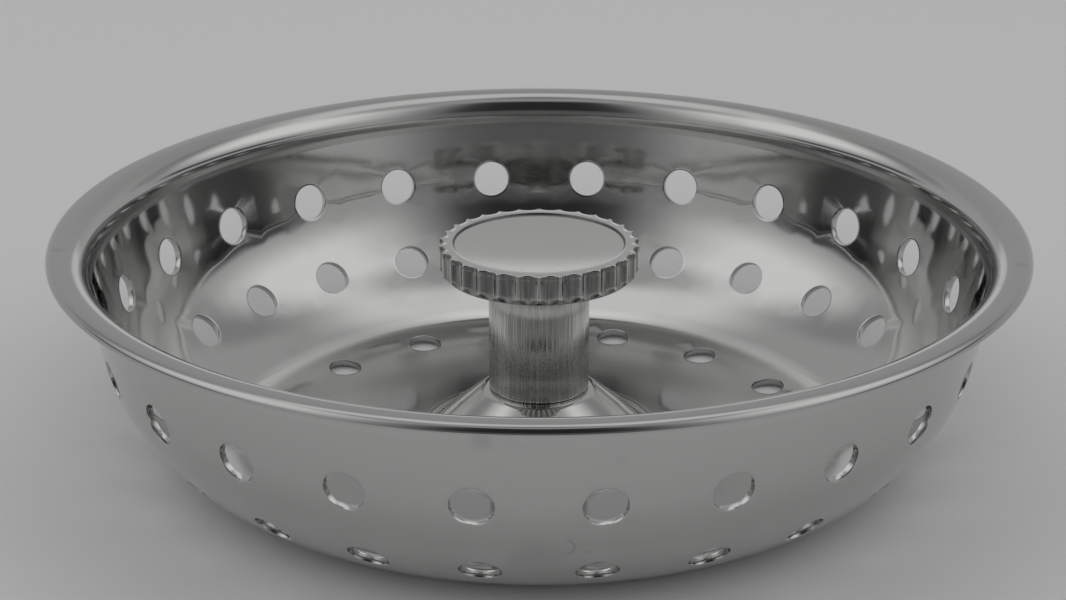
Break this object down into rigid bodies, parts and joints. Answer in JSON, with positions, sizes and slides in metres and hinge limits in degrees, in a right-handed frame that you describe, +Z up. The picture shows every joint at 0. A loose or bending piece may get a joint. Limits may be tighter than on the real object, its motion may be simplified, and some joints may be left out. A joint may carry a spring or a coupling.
{
  "type": "sink strainer",
  "caption": "Round polished steel sink strainer: a shallow perforated basket with a rolled rim and, at its centre, a post with a scalloped knob that turns.",
  "frame": {"origin": "centre of the flat bottom, on the surface the strainer stands on", "axes": "+Z up along the post, from the bottom to the knob; X and Y lie in the bottom's plane"},
  "size_m": [0.082, 0.082, 0.0203],
  "materials": {
    "basket_steel": "polished stainless sheet, faint handling marks",
    "collar_steel": "spun stainless, polished",
    "post_steel": "turned stainless, fine lines along the post",
    "knob_steel": "turned stainless, satin top, scalloped edge",
    "fastener_steel": "plain stainless fasteners",
    "nylon": "natural white nylon"
  },
  "bodies": {
    "basket": {"basket_bowl": "basket_steel", "upper_glide_washer": "nylon"},
    "grip": {"foot_collar": "collar_steel", "post_sleeve": "post_steel", "knob_ring": "post_steel", "knob": "knob_steel", "pivot_bush": "post_steel", "lower_glide_washer": "nylon", "flat_washer": "fastener_steel", "lock_washer": "fastener_steel", "centre_screw": "fastener_steel"}
  },
  "joints": [
    {"name": "grip_turn", "type": "hinge", "parent": "basket", "child": "grip", "pos_m": [0, 0, 0.0043], "axis": [0, 0, 1], "continuous": true}
  ]
}
